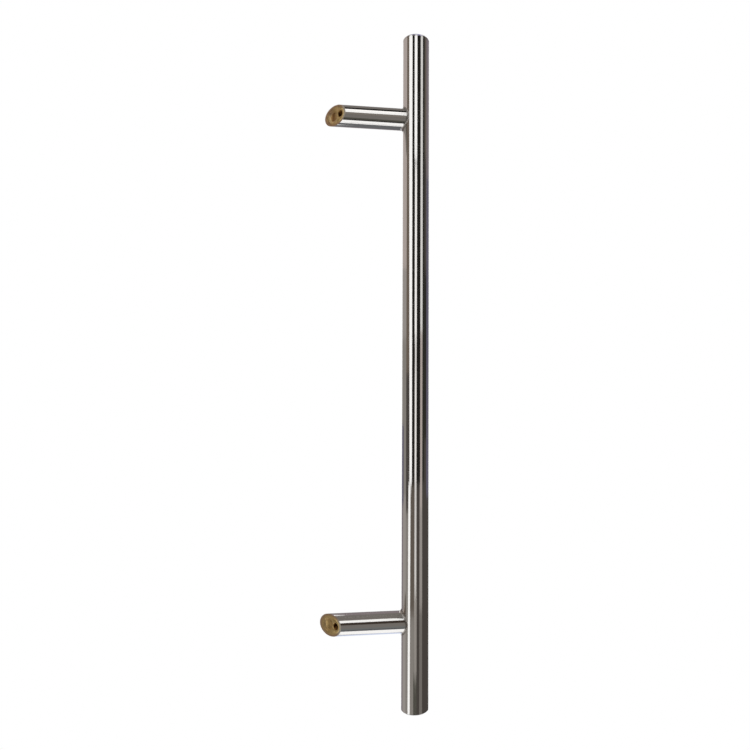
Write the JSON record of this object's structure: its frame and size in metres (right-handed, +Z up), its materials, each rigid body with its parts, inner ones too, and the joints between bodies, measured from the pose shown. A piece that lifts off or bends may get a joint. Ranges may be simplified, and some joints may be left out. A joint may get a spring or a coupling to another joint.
{
  "type": "door pull handle",
  "caption": "Long straight grip bar on two posts cranked at 45 degrees, fixed to a door from behind by bolts into tapped brass inserts.",
  "frame": {"origin": "halfway between the two fixing holes, on the door's face", "axes": "+Z up along the grip bar, +Y into the door and square to it, so the handle stands off towards -Y and the bar lies to the -X side of its fixings"},
  "size_m": [0.1027, 0.085, 0.8],
  "materials": {
    "grip_stainless": "polished",
    "post_stainless": "polished",
    "cap_stainless": "turned and polished",
    "insert_brass": "machined, tarnished"
  },
  "bodies": {
    "root": {"grip_tube": "grip_stainless", "upper_end_cap": "cap_stainless", "lower_end_cap": "cap_stainless", "upper_post_tube": "post_stainless", "lower_post_tube": "post_stainless", "upper_fixing_insert": "insert_brass", "lower_fixing_insert": "insert_brass"}
  },
  "joints": []
}
